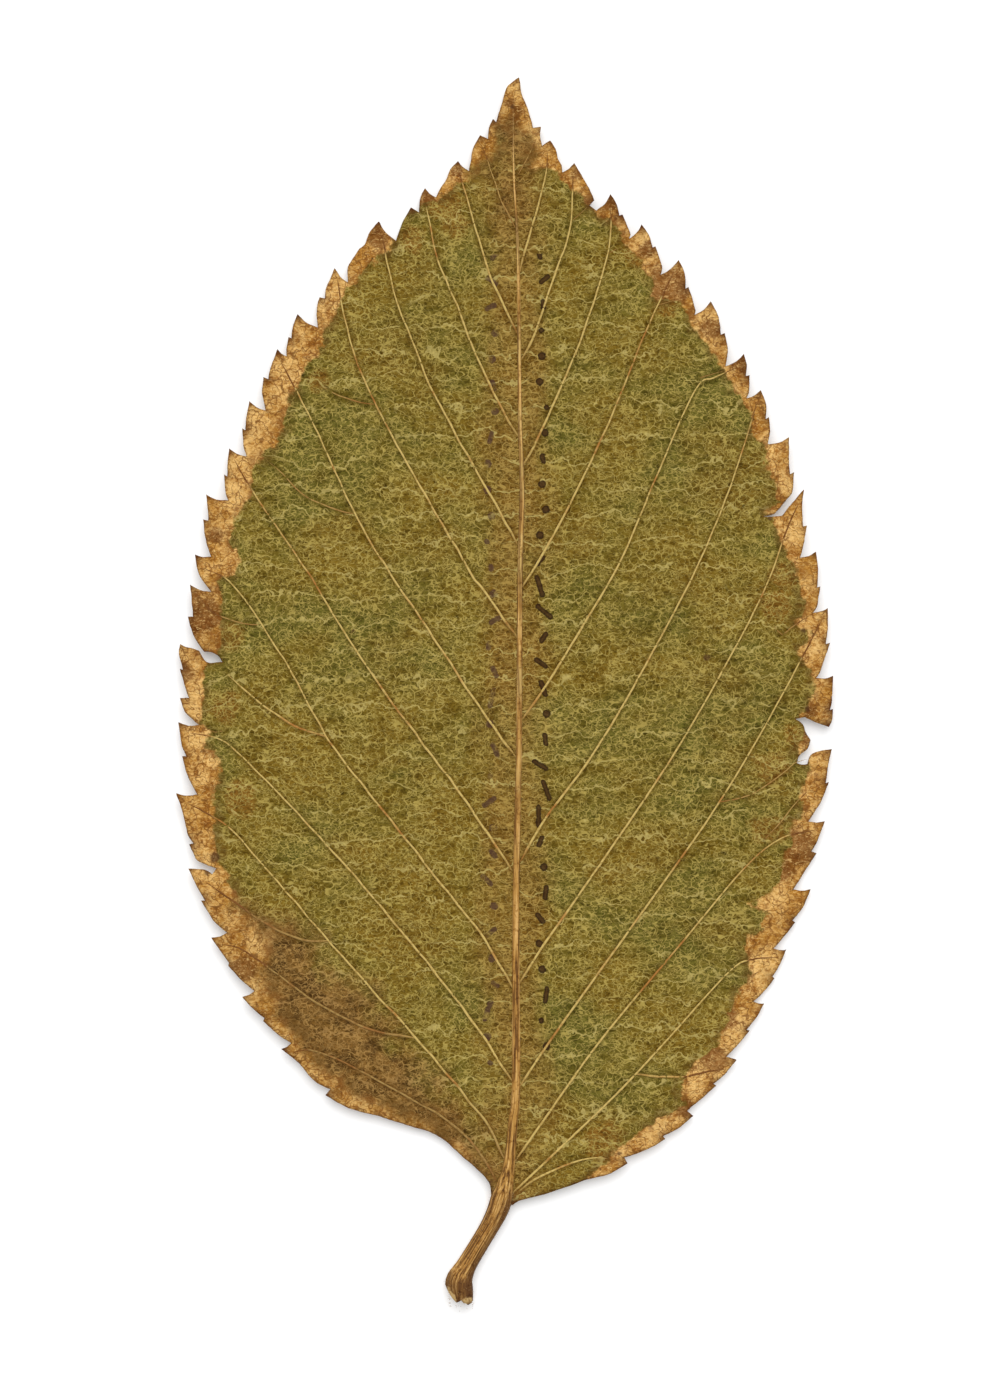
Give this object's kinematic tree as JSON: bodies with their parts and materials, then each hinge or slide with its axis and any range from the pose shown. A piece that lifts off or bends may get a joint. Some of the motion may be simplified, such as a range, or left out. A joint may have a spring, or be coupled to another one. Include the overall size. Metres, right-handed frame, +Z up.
{
  "type": "pressed elm leaf",
  "caption": "Pressed, dried elm leaf with a doubly toothed edge, raised side veins and a short stalk, lying flat with its veined underside up.",
  "frame": {"origin": "middle of the leaf's bounding box in plan, at the height of the surface that it lies on", "axes": "+Y along the leaf from its stalk to its tip, +Z up, away from the surface, out of the face that shows the raised veins"},
  "size_m": [0.0656, 0.1226, 0.0026],
  "materials": {
    "dry_leaf": "dry, matt, olive brown leaf with a tan dead edge and pale raised veins",
    "dry_rib": "dry, slightly shiny tan and brown midrib, side veins and stalk"
  },
  "bodies": {
    "root": {"leaf": "dry_leaf"}
  },
  "joints": []
}
